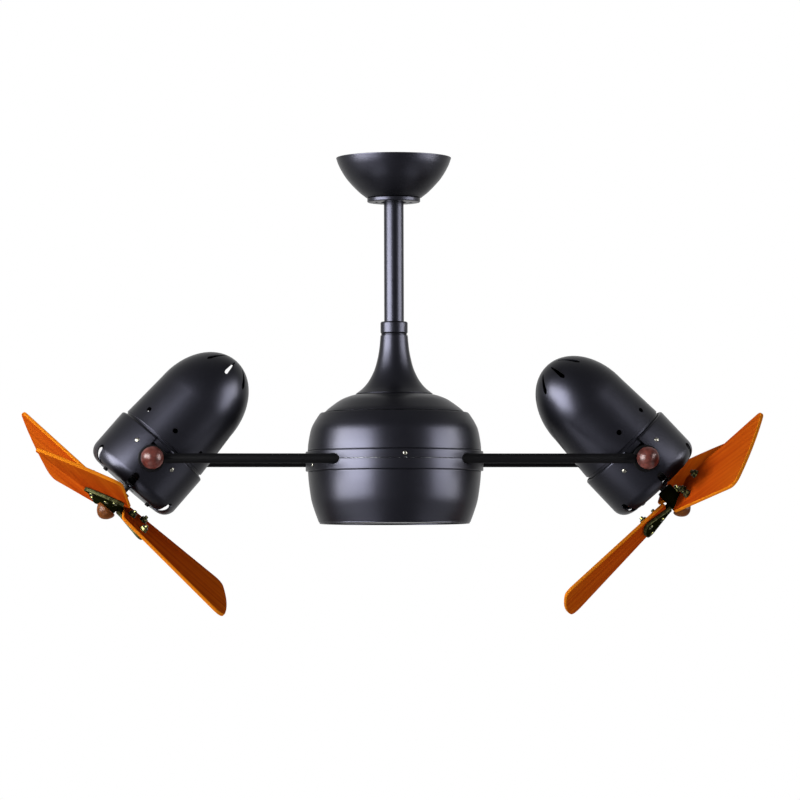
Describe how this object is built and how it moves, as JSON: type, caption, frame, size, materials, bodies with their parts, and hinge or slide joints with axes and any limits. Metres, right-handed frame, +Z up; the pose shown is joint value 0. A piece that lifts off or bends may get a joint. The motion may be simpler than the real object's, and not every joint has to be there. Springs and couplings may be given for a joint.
{
  "type": "twin head ceiling fan",
  "caption": "Ceiling fan whose motor heads tilt between paired arms of a slowly turning carousel, hung from a down rod with a ball hanger under a canopy.",
  "frame": {"origin": "middle of the ceiling face of the hanger bracket", "axes": "+Z up, out of the ceiling face; +X along the arms, from the left head to the right head in the picture; -Y towards the viewer"},
  "size_m": [0.9718, 0.392, 0.5972],
  "materials": {
    "satin_black": "satin black coat with a soft cool sheen",
    "blade_wood": "orange mahogany stain under a satin varnish",
    "knob_wood": "polished red-brown wood",
    "nose_wood": "polished brown wood",
    "antique_bronze": "dark antique bronze",
    "steel": "plain bright steel",
    "gear_steel": "oiled gear steel",
    "cast_alloy": "as cast alloy",
    "copper": "enamelled copper wire and contact metal",
    "black_plastic": "matt black moulding"
  },
  "bodies": {
    "ceiling_mount": {"hanger_bracket": "steel", "canopy": "satin_black", "canopy_ring": "satin_black"},
    "hanger_ball": {"hanger_ball": "black_plastic"},
    "hanger": {"ball_pin": "steel", "downrod": "satin_black", "downrod_collar": "satin_black", "neck_cover": "satin_black", "top_dome": "satin_black", "yoke_plate": "cast_alloy", "spindle": "steel", "upper_bearing": "steel", "lower_bearing": "steel", "gearmotor": "cast_alloy", "slip_ring": "copper"},
    "drive_pinion": {"drive_pinion": "gear_steel"},
    "carousel": {"carousel_frame": "cast_alloy", "ring_gear": "gear_steel", "brush_block": "black_plastic", "upper_bowl": "satin_black", "lower_bowl": "satin_black", "bottom_plate": "satin_black", "front_rod": "satin_black", "rear_rod": "satin_black"},
    "left_head": {"left_head_cup": "satin_black", "left_head_dome": "satin_black", "left_motor_frame": "cast_alloy", "left_rear_bell": "cast_alloy", "left_stator": "copper", "left_front_bearing": "steel", "left_rear_bearing": "steel"},
    "left_front_knob": {"left_front_knob": "knob_wood"},
    "left_rear_knob": {"left_rear_knob": "knob_wood"},
    "left_rotor": {"left_motor_shaft": "steel", "left_hub": "antique_bronze", "left_nose": "nose_wood", "left_blade_iron_1": "antique_bronze", "left_blade_1": "blade_wood", "left_blade_iron_2": "antique_bronze", "left_blade_2": "blade_wood", "left_blade_iron_3": "antique_bronze", "left_blade_3": "blade_wood"},
    "right_head": {"right_head_cup": "satin_black", "right_head_dome": "satin_black", "right_motor_frame": "cast_alloy", "right_rear_bell": "cast_alloy", "right_stator": "copper", "right_front_bearing": "steel", "right_rear_bearing": "steel"},
    "right_front_knob": {"right_front_knob": "knob_wood"},
    "right_rear_knob": {"right_rear_knob": "knob_wood"},
    "right_rotor": {"right_motor_shaft": "steel", "right_hub": "antique_bronze", "right_nose": "nose_wood", "right_blade_iron_1": "antique_bronze", "right_blade_1": "blade_wood", "right_blade_iron_2": "antique_bronze", "right_blade_2": "blade_wood", "right_blade_iron_3": "antique_bronze", "right_blade_3": "blade_wood"}
  },
  "joints": [
    {"name": "ball_swing_x", "type": "hinge", "parent": "ceiling_mount", "child": "hanger_ball", "pos_m": [0, 0, -0.027], "axis": [1, 0, 0], "range_deg": [-4, 4]},
    {"name": "ball_swing_y", "type": "hinge", "parent": "hanger_ball", "child": "hanger", "pos_m": [0, 0, -0.027], "axis": [0, 1, 0], "range_deg": [-4, 4]},
    {"name": "carousel_spin", "type": "hinge", "parent": "hanger", "child": "carousel", "pos_m": [0, 0, -0.3952], "axis": [0, 0, 1], "continuous": true},
    {"name": "pinion_spin", "type": "hinge", "parent": "hanger", "child": "drive_pinion", "pos_m": [0.066, 0, -0.382], "axis": [0, 0, 1], "continuous": true},
    {"name": "left_head_tilt", "type": "hinge", "parent": "carousel", "child": "left_head", "pos_m": [-0.3184, 0, -0.3952], "axis": [0, 1, 0], "range_deg": [-41, 139]},
    {"name": "left_front_knob_turn", "type": "hinge", "parent": "left_head", "child": "left_front_knob", "pos_m": [-0.3184, -0.0946, -0.3952], "axis": [0, -1, 0], "range_deg": [0, 360]},
    {"name": "left_rear_knob_turn", "type": "hinge", "parent": "left_head", "child": "left_rear_knob", "pos_m": [-0.3184, 0.0946, -0.3952], "axis": [0, 1, 0], "range_deg": [0, 360]},
    {"name": "left_rotor_spin", "type": "hinge", "parent": "left_head", "child": "left_rotor", "pos_m": [-0.3184, 0, -0.3952], "axis": [-0.6561, 0, -0.7547], "continuous": true},
    {"name": "right_head_tilt", "type": "hinge", "parent": "carousel", "child": "right_head", "pos_m": [0.3184, 0, -0.3952], "axis": [0, -1, 0], "range_deg": [-43.6, 136.4]},
    {"name": "right_front_knob_turn", "type": "hinge", "parent": "right_head", "child": "right_front_knob", "pos_m": [0.3184, -0.0946, -0.3952], "axis": [0, -1, 0], "range_deg": [0, 360]},
    {"name": "right_rear_knob_turn", "type": "hinge", "parent": "right_head", "child": "right_rear_knob", "pos_m": [0.3184, 0.0946, -0.3952], "axis": [0, 1, 0], "range_deg": [0, 360]},
    {"name": "right_rotor_spin", "type": "hinge", "parent": "right_head", "child": "right_rotor", "pos_m": [0.3184, 0, -0.3952], "axis": [0.6896, 0, -0.7242], "continuous": true}
  ],
  "couplings": [
    {"joint": "pinion_spin", "follows": "carousel_spin", "ratio": -4.5}
  ]
}
